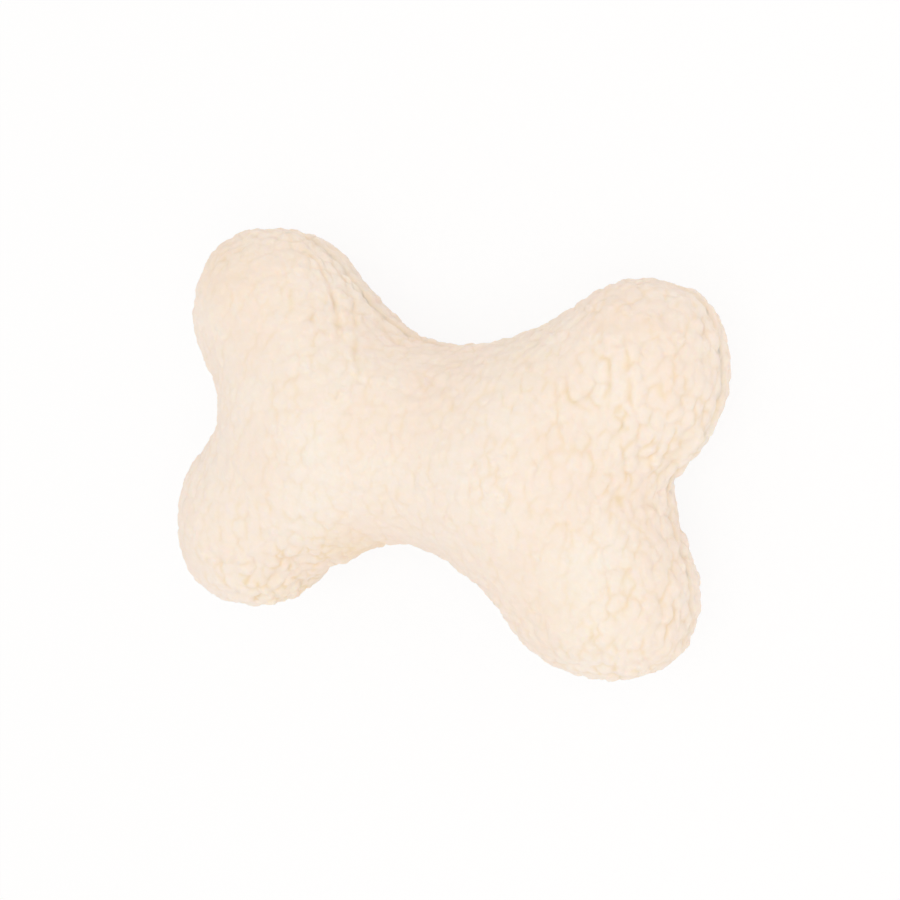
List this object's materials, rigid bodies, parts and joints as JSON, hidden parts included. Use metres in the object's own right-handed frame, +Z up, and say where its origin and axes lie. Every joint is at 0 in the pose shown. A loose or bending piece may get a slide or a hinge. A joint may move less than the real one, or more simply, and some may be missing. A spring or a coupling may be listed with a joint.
{
  "type": "plush bone dog toy",
  "caption": "Bone-shaped plush dog toy in cream sherpa fleece, stuffed with wadding round a squeaker that sounds when the middle is pressed.",
  "frame": {"origin": "on the surface that the toy lies on, under the middle of the toy", "axes": "+X along the toy's length, +Y across its width, +Z up through its thickness from the back panel to the front panel"},
  "size_m": [0.22, 0.1536, 0.0925],
  "materials": {
    "fleece": "matte",
    "thread": "satin",
    "wadding": "matte",
    "bulb": "satin",
    "plug": "satin",
    "reed": "gloss"
  },
  "bodies": {
    "toy": {"front_panel": "fleece", "back_panel": "fleece", "needle_thread": "thread", "bobbin_thread": "thread", "closing_thread": "thread", "core_filling_front": "wadding", "core_filling_back": "wadding", "lobe_filling_left_near": "wadding", "lobe_filling_left_far": "wadding", "lobe_filling_right_near": "wadding", "lobe_filling_right_far": "wadding", "squeaker_bulb": "bulb"},
    "squeaker_voice": {"squeaker_plug": "plug", "voice_piece": "plug", "squeaker_reed": "reed"}
  },
  "joints": [
    {"name": "squeaker_press", "type": "slide", "parent": "toy", "child": "squeaker_voice", "axis": [0, 0, -1], "range_m": [0, 0.008], "stiffness_N_per_m": 500, "deforming": ["squeaker_bulb"]}
  ]
}
